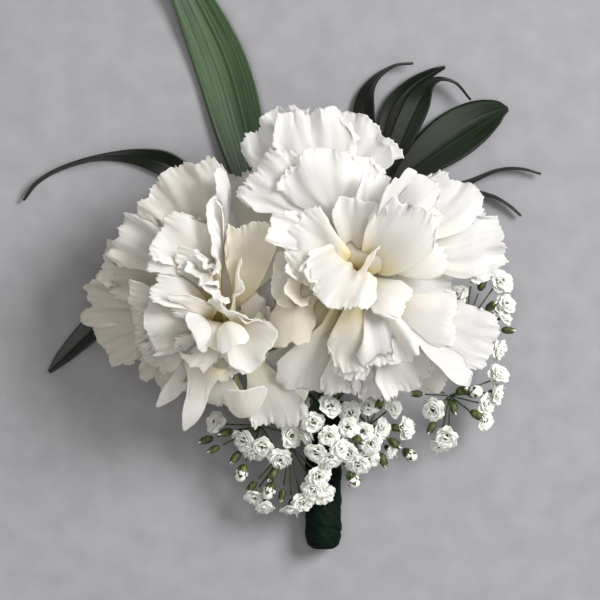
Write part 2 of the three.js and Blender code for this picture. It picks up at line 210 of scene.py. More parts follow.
def carnationPetal():
    material, shader, add = newMaterial("carnationPetal", petalFinish)
    limb = add("Attribute", {"attribute_name": "limb"})
    tone = add("Attribute", {"attribute_name": "tone"})
    ramp = add("ValToRGB", links={"Fac": limb.outputs["Fac"]}, stops=[
        (0.0, "#8f9a4a"), (0.36, "#cfb252"), (0.5, "#f0de9f"), (0.63, "#f8f1dc"), (0.82, "#f9f8f5")])
    uv = add("UVMap")
    veinPlace = add("Mapping", inputs={"Scale": waveScale(petalLook["veins"], petalLook["size"])},
                    links={"Vector": uv})
    veins = add("TexNoise", inputs={"Scale": 1.0, "Detail": 4.0}, links={"Vector": veinPlace})
    coords = add("TexCoord")
    mottlePlace = add("Mapping", inputs={"Scale": waveScale(petalLook["mottle"])},
                      links={"Vector": coords.outputs["Object"]})
    mottle = add("TexNoise", inputs={"Scale": 1.0, "Detail": 3.0}, links={"Vector": mottlePlace})
    # Painted shade: a warm beige mixed into the white by each petal's share, where it lies in shade.
    paintedWarmShade = add("MixRGB", inputs={"Color2": hexColor("#e3d6b2")},
               links={"Fac": tone.outputs["Fac"], "Color1": ramp})
    veined = add("MixRGB", {"blend_type": "MULTIPLY"}, {"Fac": 0.1}, {"Color1": paintedWarmShade, "Color2": veins})
    bumpVeins = add("Bump", inputs={"Strength": 0.4, "Distance": petalLook["veinDepth"] * mm},
                    links={"Height": veins})
    bumpMottle = add("Bump", inputs={"Strength": 0.2, "Distance": petalLook["mottleDepth"] * mm},
                     links={"Height": mottle, "Normal": bumpVeins})
    linkInputs(shader, {"Base Color": veined, "Normal": bumpMottle})
    return material


# Ruscus leaf: leathery, waxed dark green, with close parallel veins and a midrib; its paler green and the
# pale streaks along its veins are painted light and sheen.
leafLook = {"size": (10, 40, 1), "veins": (0.5, 20, 1), "veinDepth": 0.15, "patches": (14.29, 14.29, 14.29)}
leafFinish = {"IOR": 1.45, "Specular IOR Level": 0.4, "Coat Weight": 0.15, "Coat Roughness": 0.3}


def ruscusLeaf():
    material, shader, add = newMaterial("ruscusLeaf", leafFinish)
    uv = add("UVMap")
    veinPlace = add("Mapping", inputs={"Scale": waveScale(leafLook["veins"], leafLook["size"])},
                    links={"Vector": uv})
    veins = add("TexNoise", inputs={"Scale": 1.0, "Detail": 5.0, "Roughness": 0.6},
                links={"Vector": veinPlace})
    coords = add("TexCoord")
    patchPlace = add("Mapping", inputs={"Scale": waveScale(leafLook["patches"])},
                     links={"Vector": coords.outputs["Object"]})
    patches = add("TexNoise", inputs={"Scale": 1.0, "Detail": 4.0}, links={"Vector": patchPlace})
    # Painted light: a leaf's share of the paler green stands for the light and sheen on it; with none, the
    # leaf is near-black green.
    lit = add("Attribute", {"attribute_name": "lit"})
    base = add("MixRGB", inputs={"Color1": hexColor("#050f0a"), "Color2": hexColor("#5b7f52")},
               links={"Fac": lit.outputs["Fac"]})
    # The veins, drawn as dark and pale streaks; the pale broken streaks are also a painted sheen.
    veinsAndSheen = add("ValToRGB", links={"Fac": veins}, stops=[(0.36, "#465443"), (0.66, "#ffffff")])
    streaked = add("MixRGB", {"blend_type": "MULTIPLY"}, {"Fac": 0.85}, {"Color1": base, "Color2": veinsAndSheen})
    spotted = add("MixRGB", {"blend_type": "MULTIPLY"}, {"Fac": 0.5}, {"Color1": streaked, "Color2": patches})
    bump = add("Bump", inputs={"Strength": 0.5, "Distance": leafLook["veinDepth"] * mm},
               links={"Height": veins})
    rough = add("MapRange", inputs={"To Min": 0.18, "To Max": 0.5}, links={"Value": patches})
    linkInputs(shader, {"Base Color": spotted, "Normal": bump, "Roughness": rough})
    return material


# A finish of two colours that mingle in a grain with waves of a given size along x, y and z, and with a
# bump where bumpHeight is given.
def grainedFinish(name, finish, waves, detail, stops, bumpStrength=0.0, bumpHeight=0.0, turned=0.0):
    material, shader, add = newMaterial(name, finish)
    coords = add("TexCoord")
    grainPlace = add("Mapping", inputs={"Scale": waveScale(waves), "Rotation": (0, 0, turned)},
                     links={"Vector": coords.outputs["Object"]})
    grain = add("TexNoise", inputs={"Scale": 1.0, "Detail": detail}, links={"Vector": grainPlace})
    linkInputs(shader, {"Base Color": add("ValToRGB", links={"Fac": grain}, stops=stops)})
    if bumpHeight > 0:
        bump = add("Bump", inputs={"Strength": bumpStrength, "Distance": bumpHeight * mm},
                   links={"Height": grain})
        linkInputs(shader, {"Normal": bump})
    return material


# Green stalk or calyx: smooth living skin, paler along fine ribs, which are drawn coarser than they are.
def greenSkin(name, dark, pale, rib):
    return grainedFinish(name, {"Roughness": 0.5, "IOR": 1.42}, (rib, rib / 0.3, rib), 3.0,
                         [(0.35, dark), (0.7, pale)], bumpStrength=0.3, bumpHeight=0.1)


petalMaterial = carnationPetal()
leafMaterial = ruscusLeaf()
ruscusStemMaterial = greenSkin("ruscusStalk", "#22401f", "#4a6b38", 1.111)
carnationStemMaterial = greenSkin("carnationStalk", "#4c6b45", "#86a072", 1.429)
calyxMaterial = greenSkin("carnationCalyx", "#48683c", "#8ba76a", 2)
sprigStemMaterial = greenSkin("gypsophilaStalk", "#20301a", "#4b5f33", 0.6667)
floretCalyxMaterial = greenSkin("gypsophilaCalyx", "#18200f", "#616d38", 0.5882)

# Gypsophila petal: papery, bright white, slightly see-through.
floretMaterial = grainedFinish(
    "gypsophilaPetal",
    {"Roughness": 0.6, "Subsurface Weight": 0.3, "Subsurface Radius": (1.0, 0.95, 0.8),
     "Subsurface Scale": 0.0004},
    (1.111, 1.111, 1.111), 2.0, [(0.3, "#e6e9dd"), (0.65, "#fafaf8")])

# Floral tape: waxed crepe paper, pulled tight, with fine cross wrinkles and a dull shine.
tapeMaterial = grainedFinish(
    "floralTapeCrepe", {"Roughness": 0.7, "Specular IOR Level": 0.1},
    (1.429, 0.3846, 1.429), 4.0, [(0.3, "#020a06"), (0.7, "#081c13")],
    bumpStrength=0.5, bumpHeight=0.2, turned=0.5)

# Florist's wire: thin steel with green enamel.
wireMaterial = grainedFinish("enamelWire", {"Roughness": 0.35}, (0.6667, 0.6667, 0.6667), 2.0,
                             [(0.4, "#1d3a2a"), (0.7, "#2f5540")])
print("materials made")

# Carnations. A calyx's profile gives its radius at each height above its foot.

calyxShape = {"length": 18, "profile": [[0, 1.5], [1.2, 2.6], [4.5, 4.0], [9.5, 4.7], [15, 4.95], [18, 4.8]],
              "teeth": 5, "toothHeight": 3.4, "toothFlare": 0.35, "notchDepth": 1.6, "ribs": 20,
              "ribDepth": 0.07, "rows": 46, "columns": 61, "wall": 0.3}
# clawRows: share of the rows on the claw. lobes: depths of an outline's two waves, as shares of its reach.
# broadHalf: half width from which folds have their full height. steepest: rise of a step over its width.
petalShape = {"thickness": 0.18, "clawDepth": 7, "clawHalf": 1.1, "clawRing": 2.6, "clawSpread": 1.2,
              "clawRows": 0.16, "rows": 30, "plainRows": 20, "plainColumns": 34, "lobes": [0.045, 0.02],
              "toothWidth": 1.15, "ruffleWidth": 3.2, "crinkle": 0.16, "cornerRound": 0.14,
              "marginBow": 0.85, "broadHalf": 9, "steepest": 0.92, "plainLength": 9}

# How a petal is told apart from the plain one.
# tilt: how far its right side is raised, in degrees. cup: how far both sides turn up, in degrees.
# fold: height and number of the folds that fan out. frill: height of the ruffles. wave: of the slow waves.
# tooth: depth of the teeth. curl: lift of the margin. point: how much longer the middle is than the corners.
# claw: share of its length before the fan opens. rise: how far it first follows the bloom's axis.
# tone: how much painted warm shade, a beige, it takes. pale: how far its white reaches down. lobe: how uneven
# its outline is.
# phase: where across it the first fold starts.
plainPetal = {"tilt": 0, "cup": 10, "fold": [0.45, 1.3], "frill": 0.5, "wave": 1.2, "tooth": 1.0,
              "curl": 0.0, "point": 0.0, "claw": 0.42, "rise": 0.25, "tone": 0.0, "pale": 0.0, "lobe": 1.0,
              "phase": None}
smallPetals = {"frill": 0.2, "wave": 0.2, "tooth": 0.2, "claw": 0.5, "lobe": 0.3}


# An open petal. tip: middle of its margin. start: where its blade starts towards it. half: half its width.
def blade(tip, start, half, **shape):
    return {**plainPetal, "tip": tip, "start": start, "half": half, **shape}


# A small petal of the heart or a folded one seen on edge: smoother, and its fan opens late.
def inner(tip, start, half, **shape):
    return blade(tip, start, half, **{**smallPetals, **shape})


rightBloom = {
    "mouth": [10.5, 4.5, 22], "lean": 30, "heading": 10, "seed": 11, "drift": [-2, -4, 0],
    "guard": {
        "backFan": blade([10.8, 37.1, 28], [6.3, 24, 31], 14.8, tilt=10, fold=[0.7, 3], claw=0.48, tone=0.1,
            pale=0.1),
        "upperLeft": blade([-7.5, 36.2, 27], [0.8, 24.5, 30], 12, fold=[0.8, 3], claw=0.45, pale=0.1),
        "backLeft": blade([-14, 25.4, 17], [-8, 16.1, 20], 10.4, tone=0.5),
        "backInner": blade([2.4, 37.7, 31], [4.3, 25.1, 33], 12.5, fold=[0.6, 3], pale=0.1),
        "rightFan": blade([32.5, 23.8, 28], [21.6, 9, 33], 10.5, fold=[0.8, 2.4], frill=0.7),
        "rightLow": blade([40.8, 11, 24], [22.9, 6.7, 31], 10.4, cup=-8, fold=[0.8, 2.2], frill=0.7,
            tooth=1.1),
        "rightUnder": blade([29.9, 3, 24], [18.2, 6.3, 30], 10.4, tone=0.15),
        "rightLobe": blade([39, -9.7, 28], [25.3, -7.1, 29], 11, cup=-15, fold=[0.6, 2], tooth=0.8,
            point=0.12, lobe=0.7),
        "lowRightShade": blade([30.1, -15.6, 21], [20.6, -9.5, 28], 8, cup=-20, tone=0.35),
        "bottomRight": blade([22.4, -17.9, 25], [17.3, -7.9, 31], 8, frill=0.3, tone=0.1),
        "bottom": blade([15.8, -19.6, 22], [13.9, -8.7, 28], 9, frill=0.3),
        "bottomLeft": blade([9.6, -19, 23], [9.9, -8.7, 30], 7.5, frill=0.3, tone=0.15),
        "lowerShade": blade([-6.3, -18.7, 19], [2.4, -10.3, 25], 8, frill=0.3, tone=0.4),
    },
    "middle": {
        "frontFan": blade([5.5, 29.8, 36], [5.8, 17.9, 37.5], 13.2, cup=-12, fold=[0.5, 3], claw=0.46,
            pale=0.25),
        "leftPleats": blade([-8.3, 26.9, 33], [1.9, 18.6, 36], 10.8, fold=[0.8, 3], claw=0.45, pale=0.15),
        "tallPointed": blade([25, 23.3, 36.5], [19.9, 14.8, 36.5], 6, tilt=-25, cup=35, frill=0.3, wave=0.6),
        "tallShade": blade([24.6, 19.1, 36], [19.1, 10.2, 36], 6.5, tilt=-10, frill=0.3, tone=0.15),
        "greyWhite": blade([30.7, -4.7, 29], [19.6, -4.7, 33], 8.5, tilt=-5, frill=0.4, tooth=0.8, tone=0.1),
        "lobeRidge": blade([34.1, -13.5, 28], [22.8, -9.4, 32], 6, tilt=35, frill=0.3, tooth=0.3),
        "lowerFold": blade([0.6, -18.2, 22], [3.8, -7.9, 31], 9.5, tilt=22, cup=-30, fold=[0.5, 1.2],
            frill=0.3, wave=0.8, tooth=0.4, tone=0.2),
        "lowerCream": blade([13, -13.8, 30], [11.1, -2.4, 34], 9.8, cup=-15, fold=[0.3, 1.3], frill=0.4,
            wave=0.5, claw=0.25, tone=0.3, pale=-0.1),
        "lowRight": blade([19.3, -12.8, 31], [16.9, -3.1, 34], 9.4, cup=-10, fold=[2.4, 1.3], frill=0.25,
            wave=0.6, tooth=0.6, claw=0.3, pale=0.1),
        "lowerBright": blade([9.5, -15.7, 28], [11.8, -8.7, 31], 5.5, frill=0.4),
    },
    "inner": {
        "tallFolded": blade([21.7, 25.4, 39.8], [16.5, 15.6, 38.8], 6.5, tilt=-30, cup=45, fold=[0.8, 1.4],
            frill=0.2, wave=0.5, tooth=0.5),
        "tallLeft": blade([15.8, 24.6, 37], [11.9, 15.6, 36], 6.4, tilt=-30, cup=30, fold=[0.8, 2],
            frill=0.6),
        "centreRight": blade([22.4, 18.7, 38], [13.2, 0.4, 33], 10.2, cup=30, frill=0.45, wave=0.8,
            tooth=0.9, lobe=0.8, claw=0.22, rise=0.4, pale=-0.06),
        "rightSmooth": blade([24.3, 13.9, 35], [18, 4.7, 35], 9.8, cup=-15, frill=0.4, wave=0.9, tooth=0.8,
            lobe=0.8),
        "whiteSpike": blade([-5.7, 15.4, 40], [0.8, 13.1, 39], 6, tilt=-10, cup=20, fold=[0.7, 2], frill=0.9,
            pale=0.2),
        "leftBright": blade([4.4, -0.4, 37.5], [13.9, 11.1, 35], 12.5, cup=40, fold=[1.2, 2.6], frill=0.7,
            wave=0.9, lobe=0.8, claw=0.2, rise=0.4),
        "valleyRim": inner([13.9, 7.2, 38], [12.3, 8.4, 31], 4.6, fold=[1, 1.3], wave=0.3, tooth=0.3,
            lobe=0.4, tone=0.1),
        "ruffleLeft": inner([1.7, 4.2, 39.5], [3.9, 5.3, 32.5], 5.4, fold=[1.2, 2.2], tooth=0.3, lobe=0.4),
        "peak": blade([20.8, -1.4, 34], [13.7, 2.4, 34], 6.2, tilt=15, cup=-10, frill=0.4, wave=0.7,
            tooth=0.9, lobe=0.8, claw=0.3),
        "spoon": blade([-1.4, -9.3, 32], [-3.1, 7, 37], 7, cup=-75, fold=[0.2, 1], frill=0.1, wave=0.4,
            tooth=0.1, claw=0.3, tone=0.75),
        "goldenEdge": inner([-1.9, 0.9, 37], [0, 2.2, 30], 4.8, fold=[1.6, 1.2], frill=0.1, tone=0.5,
            pale=-0.15),
        "goldPocket": inner([-0.3, 5.4, 31], [4.6, -1.4, 28], 4.4, cup=30, frill=0.1, claw=0.2, pale=-0.42),
        "gapFoot": inner([1.2, -5.2, 27], [9.5, 4, 26.5], 6, cup=20, wave=0.3, claw=0.2, tone=0.6,
            pale=-0.35),
        "spoonTop": blade([-5.7, 3.9, 33], [6.3, 3.9, 33], 7.2, cup=20, frill=0.3, wave=0.5, tooth=0.4,
            lobe=0.4, claw=0.3, tone=0.4),
    },
    "heart": {
        "creamyFan": blade([-3.1, 12.3, 38.5], [14.2, 1.2, 31], 10.6, cup=15, fold=[0.6, 1.8], frill=0.6,
            claw=0.2, rise=0.4, tone=0.1, pale=-0.06),
        "valleyFloor": blade([12.6, 19.6, 37.5], [10.2, 2, 31], 8, cup=12, fold=[0.6, 1.4], frill=0.4,
            wave=0.4, tooth=0.5, lobe=0.5, claw=0.35, tone=0.1, pale=-0.1),
        "valleyFoot": inner([14.1, 10.8, 33.2], [9.9, 0.8, 29.8], 5.4, frill=0.1, claw=0.4, rise=0.15,
            pale=-0.28),
    },
}
leftBloom = {
    "mouth": [-14.5, -5, 22], "lean": 34, "heading": -42, "seed": 23, "drift": [7.5, -5.5, 0],
    "guard": {
        "topFan": blade([-26.3, 26.1, 24], [-17.4, 14.6, 29], 14, fold=[0.8, 3.5], tone=0.4, pale=-0.04),
        "upperLeft": blade([-36.4, 14, 24], [-25.3, 9.5, 29], 10.5, fold=[1.1, 2.6], frill=0.9, tooth=0.7,
            lobe=1.3, tone=0.3),
        "leftShoulder": blade([-40.1, 7.2, 20], [-29.4, 4.4, 26], 8, fold=[1.1, 2.3], frill=0.9, tooth=0.7,
            lobe=1.4, tone=0.4),
        "shoulderLow": blade([-37.8, 4.2, 22], [-28.2, 3.6, 27], 5.5, tone=0.45),
        "farLeft": blade([-43.8, -0.4, 14], [-32.9, -2, 21], 9, fold=[1.3, 2.6], frill=1.1, tooth=0.6,
            lobe=1.5, tone=0.6),
        "farLeftLow": blade([-40, -10.2, 13], [-29.6, -4.8, 21], 9.5, fold=[1.3, 2.6], frill=1.1, tooth=0.6,
            lobe=1.4, tone=0.65),
        "lowerLeft": blade([-30.8, -16.6, 15], [-24.8, -8, 22], 8.5, fold=[1.1, 2.4], frill=0.9, tooth=0.6,
            lobe=1.3, tone=0.55),
        "bottomLeft": blade([-25.1, -17.6, 18], [-22.7, -8.8, 25], 6.8, tone=0.4),
        "bottomMiddle": blade([-17.3, -21, 20], [-15.9, -11.9, 26], 6.5, tone=0.4),
        "bottomCup": blade([-11.1, -17.9, 30], [-11.4, -37.1, 11], 5.8, tilt=180, cup=60, fold=[0.2, 1],
            frill=0.1, wave=0.5, tooth=0.2, lobe=0.2, pale=-0.08),
        "hanging": blade([-4.7, -25.8, 18], [-5.2, -12.7, 25], 8.5, claw=0.35, tone=0.3),
    },
    "middle": {
        "broadTop": blade([-27.3, 14.9, 34], [-16.1, 9.8, 34], 8.8, tilt=-10, cup=15, frill=0.3, tone=0.1,
            pale=-0.06),
        "curledHigh": blade([-33.4, 1, 28], [-23.6, -2.4, 32], 5.2, tilt=35, frill=0.7, curl=1, tone=0.3),
        "curledLow": blade([-33.2, -5.4, 26], [-23.6, -5.1, 31], 7.2, frill=0.6, tone=0.4),
        "leftStripHigh": blade([-32.2, -9.4, 26], [-21.2, -6.7, 32], 5.2, tilt=25, frill=0.7, tone=0.35),
        "leftStripLow": blade([-30, -12.1, 26], [-20.4, -7.9, 33], 5.7, tilt=20, frill=0.6, tone=0.35),
        "lowLeft": blade([-25.5, -14.5, 24], [-18.9, -8.7, 32], 6.5, frill=0.4, tone=0.3),
        "pointedDown": blade([-23.2, -26.7, 25], [-17.1, -11.8, 34], 8.4, tilt=20, cup=-15, fold=[0.2, 1],
            frill=0.1, tooth=0.1, point=0.85, lobe=0.3),
        "pointedLeft": blade([-28.5, -21.3, 22], [-19.8, -13.8, 29], 6.6, tilt=15, frill=0.2, tooth=0.1,
            point=0.8),
    },
    "inner": {
        "edgeStrip": blade([-18, 13.9, 36.5], [-12.5, 15.2, 28], 12.5, fold=[0.7, 3.4], frill=0.3, wave=0.3,
            tooth=0.4, lobe=0.4, claw=0.55, pale=-0.06),
        "edgeHigh": blade([-16.4, 21, 34.5], [-11.5, 22.4, 27.5], 6.6, fold=[0.8, 1.6], frill=0.25, wave=0.3,
            tooth=0.4, lobe=0.4, claw=0.55),
        "sRim": inner([-11.4, 3.9, 36], [-12.7, 4.3, 28], 5.4, fold=[1.6, 1.1], phase=-1.2, frill=0.1),
        "beigeTall": blade([-10.8, 15.5, 35], [-8.9, -3.6, 25], 8, cup=60, fold=[0.4, 1.2], frill=0.4,
            wave=0.5, claw=0.2, tone=0.75),
        "paleBack": blade([-14.4, 10.3, 29], [-14, -1.2, 26], 6.5, cup=30, fold=[0.4, 1.2], frill=0.3,
            wave=0.4, claw=0.2, tone=0.5),
        "beigeRight": blade([-6.3, 14.6, 31], [-5.2, 0.8, 27], 6, cup=20, frill=0.3, tone=0.6),
        "brightLong": blade([-29.8, 8.3, 34], [-18, 8.2, 35], 4.2, tilt=-20, frill=0.3, claw=0.3,
            pale=-0.08),
        "stripHigh": blade([-24.4, 8, 35], [-16.3, 6.1, 35], 4.4, tilt=30, frill=0.6, pale=-0.08),
        "ruffleHigh": inner([-18.9, 7, 37], [-15.6, 11.4, 30], 5.4, fold=[1.3, 2.4], pale=-0.1),
        "ruffleMiddle": inner([-19.6, 3.7, 37.5], [-16.1, 8.4, 30], 6.6, fold=[1.2, 2.8], pale=-0.1),
        "ruffleLow": inner([-17.5, 0.8, 37.5], [-14.2, 4.9, 30], 5, fold=[1.2, 2], pale=-0.1),
        "brightLeft": blade([-29.1, 2.7, 36], [-16.4, 0, 37], 4.6, tilt=-20, frill=0.25, claw=0.3,
            pale=-0.08),
        "stripMiddle": blade([-25.9, -0.5, 36], [-14.4, -2.5, 37], 4, tilt=40, claw=0.3, pale=-0.08),
        "longRidge": inner([-13.8, -1.4, 38.5], [-14.7, -3.3, 30], 6.6, fold=[1.2, 1.4], wave=0.3, tooth=0.3,
            lobe=0.4, claw=0.4, pale=-0.08),
        "pocketRim": inner([-9.5, -4.4, 37.5], [-8.8, -2.4, 30], 4.6, fold=[1.4, 1.2], frill=0.1, tone=0.3),
        "leftPointing": blade([-30.6, -4.9, 33], [-17.6, -4.7, 36], 7, cup=-35, frill=0.25, tooth=0.4,
            lobe=0.5, tone=0.25, pale=-0.08),
        "stripLow": blade([-29.8, -8.7, 31], [-18.8, -6.4, 34], 4.6, tilt=15, tone=0.2, pale=-0.06),
        "lowTuft": blade([-25.2, -8.6, 34], [-16, -9.5, 36], 4.7, frill=0.3, point=0.3, tone=0.25),
        "lowTuftRight": blade([-21.8, -12.9, 34], [-16.4, -8.6, 36], 5.2, frill=0.3, tone=0.15),
    },
    "heart": {
        "roundLeft": inner([-21, -6.8, 39], [-15.4, -4.3, 37], 5.6, cup=-40, frill=0.15, wave=0.5, claw=0.3,
            pale=-0.06),
        "heartShade": inner([-17.6, -9.4, 36], [-14, -1.6, 34], 5.4, wave=0.4, tooth=0.3, claw=0.15,
            rise=0.4, tone=0.5),
        "heartTop": inner([-12.4, -9.1, 41.5], [-15.4, -1.4, 38], 4.4, cup=-50, frill=0.15, wave=0.4,
            claw=0.3, pale=-0.06),
        "heartLobe": blade([-7, -12, 39], [-13.4, -4.9, 33], 8, cup=60, fold=[0.5, 1.4], frill=0.3, wave=0.6,
            tooth=0.3, lobe=0.5, claw=0.3, tone=0.1, pale=-0.06),
    },
}
blooms = {"right": rightBloom, "left": leftBloom}

# Small petals that fill a whorl behind the ones above, each with a random amount of painted shade.
fillWhorls = {
    "guard": {"count": 4, "distance": 14, "height": -3, "bend": 100, "half": 8.5},
    "middle": {"count": 5, "distance": 11.5, "height": 2, "bend": 80, "half": 8},
    "inner": {"count": 5, "distance": 8, "height": 8, "bend": 50, "half": 7},
    "heart": {"count": 3, "distance": 3, "height": 5.5, "bend": 35, "half": 4.5},
}


def bloomAxes(bloom):
    lean, heading = math.radians(bloom["lean"]), math.radians(bloom["heading"])
    ahead = np.array([math.sin(heading), math.cos(heading), 0])
    upward = np.array([0, 0, 1])
    axis = math.sin(lean) * ahead + math.cos(lean) * upward
    top = math.cos(lean) * ahead - math.sin(lean) * upward
    return axis, top, np.cross(top, axis), np.array(bloom["mouth"], float)


# From the calyx up along the bloom's axis, then out along the blade to the tip.
def centreLine(bloom, petal, steps=70):
    axis, top, right, mouth = bloomAxes(bloom)
    tip, start = np.array(petal["tip"], float), np.array(petal["start"], float)
    outward = unit(tip - start)
    ring = unit(outward - axis * outward.dot(axis))
    base = mouth + ring * petalShape["clawRing"]
    handle = base + axis * petal["rise"] * np.linalg.norm(tip - base)
    t = np.linspace(0, 1, steps)[:, None]
    limb = (1 - t) ** 3 * base + 3 * (1 - t) ** 2 * t * handle + 3 * (1 - t) * t ** 2 * start + t ** 3 * tip
    depth = np.linspace(1, 0, 10)[:-1, None]
    claw = base - depth * (axis * petalShape["clawDepth"] + ring * petalShape["clawSpread"])
    return np.vstack([claw, limb]), unit(np.cross(axis, ring))


# The line's direction, its sideways direction and its upper face at each point, turned no more than it bends.
def carriedFrame(line, across):
    along = unit(np.gradient(line, axis=0))
    sideways = []
    for direction in along:
        across = unit(across - direction * across.dot(direction))
        sideways.append(across)
    sideways = np.array(sideways)
    return along, sideways, np.cross(along, sideways)


# Waves of 6 to 12 mm in all directions over a flat sheet.
def slowWaves(x, y, rng):
    total = 0
    for _ in range(5):
        length, heading, phase = rng.uniform(6, 12), rng.uniform(0, math.pi), rng.uniform(0, 2 * math.pi)
        total = total + np.sin(2 * math.pi * (x * math.cos(heading) + y * math.sin(heading)) / length + phase)
    return total / 5


# From here, u runs from -1 to 1 across the petal and q from 0 to 1 up its blade.
# Outline: broad lobes, then fine teeth, on a fan whose corners are rounded.
def petalOutline(petal, reach, u, q, phase, rng):
    broad, small = petalShape["lobes"]
    lobes = (broad * np.sin(2.1 * math.pi * u + phase[0]) + small * np.sin(5.3 * math.pi * u + phase[1])
             + rng.uniform(-0.14, 0.14) * u) * petal["lobe"]
    saw = u * petal["half"] / petalShape["toothWidth"] + 0.6 * np.sin(3 * u + phase[2])
    saw = np.abs(saw % 1 - 0.5) * 2
    uneven = rng.uniform(-0.25, 0.25, u.shape[1])
    teeth = petal["tooth"] * ((saw - 0.5) * (0.6 + 0.5 * np.sin(7 * u + phase[3])) + uneven) / reach
    corners = 1 - petalShape["cornerRound"] * np.abs(u) ** 6 - petal["point"] * np.abs(u) ** 0.95
    return reach * q * (corners + lobes * q ** 2 + teeth * q ** 7)


# Height of the folds that fan out, of the ruffles at the margin and of its crinkles.
def petalRelief(petal, u, q, phase, broad):
    foldHeight, foldCount = petal["fold"]
    foldStart = phase[4] if petal["phase"] is None else petal["phase"]
    folds = broad * foldHeight * q * (
        0.75 * np.sin(foldCount * math.pi * u + foldStart + 1.2 * q)
        + 0.3 * np.sin(1.9 * foldCount * math.pi * u + phase[5] - q))
    frill = petal["frill"] * smoothStep(0.62, 1.0, q) * (0.65 + 0.5 * np.sin(2.1 * u + phase[8]))
    ruffleCount = petal["half"] / petalShape["ruffleWidth"]
    ruffles = frill * (
        0.8 * np.sin(ruffleCount * math.pi * u + phase[6] + 2.5 * q)
        + 0.3 * np.sin(2.3 * ruffleCount * math.pi * u + phase[7] - 2 * q))
    crinkle = np.sin(petal["half"] * 3.1 * u + phase[9]) + np.sin(petal["half"] * 4.7 * u + phase[10] + 3 * q)
    crinkle = petalShape["crinkle"] * petal["tooth"] * smoothStep(0.8, 1.0, q) * crinkle
    return folds + ruffles + crinkle


# Places along each row, counted from its middle, where these are the steps between them.
def fromMiddle(steps):
    places = np.concatenate([np.zeros((len(steps), 1)), np.cumsum(steps, axis=1)], axis=1)
    half = places.shape[1] // 2
    return places - (places[:, half:half + 1] + places[:, half - 1:half]) / 2


# Each row keeps its length as it folds and cups.
def foldedRows(petal, lateral, height, u, q):
    steepest = petalShape["steepest"] * np.abs(np.diff(lateral, axis=1))
    stepHigh = np.clip(np.diff(height, axis=1), -steepest, steepest)
    stepAcross = np.sqrt(np.diff(lateral, axis=1) ** 2 - stepHigh ** 2)
    middle = (u[:, 1:] + u[:, :-1]) / 2
    turn = math.radians(petal["cup"]) * middle * smoothStep(0.0, 0.55, q)
    stepX = np.cos(turn) * stepAcross - np.sin(turn) * stepHigh
    stepZ = np.sin(turn) * stepAcross + np.cos(turn) * stepHigh
    half = height.shape[1] // 2
    return fromMiddle(stepX), fromMiddle(stepZ) + height[:, half:half + 1] + petal["curl"] * q ** 4


def interpolated(advance, station, table):
    return np.stack([np.interp(advance, station, table[:, k]) for k in range(3)], axis=-1)


def petalPoints(bloom, petal, rows, columns, rng):
    line, across = centreLine(bloom, petal)
    along, sideways, face = carriedFrame(line, across)
    level = unit(np.cross([0, 0, 1], along[-1]))
    tilt = math.radians(petal["tilt"])
    target = math.cos(tilt) * level - math.sin(tilt) * np.cross(along[-1], level)
    twist = math.atan2(target.dot(face[-1]), target.dot(sideways[-1]))
    station = np.concatenate([[0], np.cumsum(np.linalg.norm(np.diff(line, axis=0), axis=1))])
    total = station[-1]
    clawEnd = petalShape["clawDepth"] + petal["claw"] * (total - petalShape["clawDepth"])
    reach = total - clawEnd

    v = downRows(rows)
    u = np.linspace(-1, 1, columns)[None, :]
    upClaw = np.minimum(v / petalShape["clawRows"], 1)
    q = np.clip((v - petalShape["clawRows"]) / (1 - petalShape["clawRows"]), 0, 1)
    q = 1 - (1 - q) ** 1.25  # rows close up towards the margin
    phase = rng.uniform(0, 2 * math.pi, 12)
    radius = petalOutline(petal, reach, u, q, phase, rng)
    theta = u * math.asin(min(0.97, petal["half"] / reach))
    sway = petal["lobe"] * rng.uniform(-0.12, 0.12) * reach * q ** 2
    clawWidth = u * petalShape["clawHalf"] * (1 - q) ** 2 * (0.45 + upClaw * 0.55)
    lateral = radius * np.sin(theta) + sway + clawWidth
    advance = upClaw * clawEnd + radius * (1 - petalShape["marginBow"] * (1 - np.cos(theta)))

    broad = min(1, petal["half"] / petalShape["broadHalf"])
    height = petalRelief(petal, u, q, phase, broad)
    height = height + broad * petal["wave"] * q * slowWaves(lateral, advance, rng)
    x, z = foldedRows(petal, lateral, height, u, q)

    advance = np.clip(advance, 0, total)
    centre, side, up = (interpolated(advance, station, table) for table in (line, sideways, face))
    side, up = unit(side), unit(up)
    roll = twist * smoothStep(0.5 * clawEnd, clawEnd + 0.35 * reach, advance)[..., None]
    sideTurned = np.cos(roll) * side + np.sin(roll) * up
    upTurned = np.cos(roll) * up - np.sin(roll) * side
    points = centre + sideTurned * x[..., None] + upTurned * z[..., None]
    return points, np.broadcast_to(advance / total + petal["pale"], (rows, columns))


def petalSheet(bloom, petal, rows, columns, rng):
    points, limb = petalPoints(bloom, petal, rows, columns, rng)
    return sheetFromPoints("petal", place(points), {"limb": limb, "tone": petal["tone"]})


def fillPetals(bloom, whorlName, rng):
    axis, top, right, mouth = bloomAxes(bloom)
    whorl = fillWhorls[whorlName]
    for k in range(whorl["count"]):
        turn = 2 * math.pi * (k + rng.uniform(-0.25, 0.25)) / whorl["count"] + rng.uniform(0, 0.4)
        ring = math.cos(turn) * top + math.sin(turn) * right
        bend = math.radians(whorl["bend"] + rng.uniform(-10, 10))
        height = whorl["height"] * rng.uniform(0.85, 1.1)
        tip = mouth + ring * whorl["distance"] * rng.uniform(0.85, 1.1) + axis * height
        tip = tip + np.array(bloom["drift"]) * height / 16
        outward = math.cos(bend) * axis + math.sin(bend) * ring
        start = tip - outward * petalShape["plainLength"]
        yield blade(tip, start, whorl["half"] * rng.uniform(0.8, 1.15),
                    cup=rng.uniform(-10, 45), tilt=rng.uniform(-25, 25), fold=[rng.uniform(0.3, 0.7), 1.5],
                    tone=rng.uniform(0.1, 0.5))


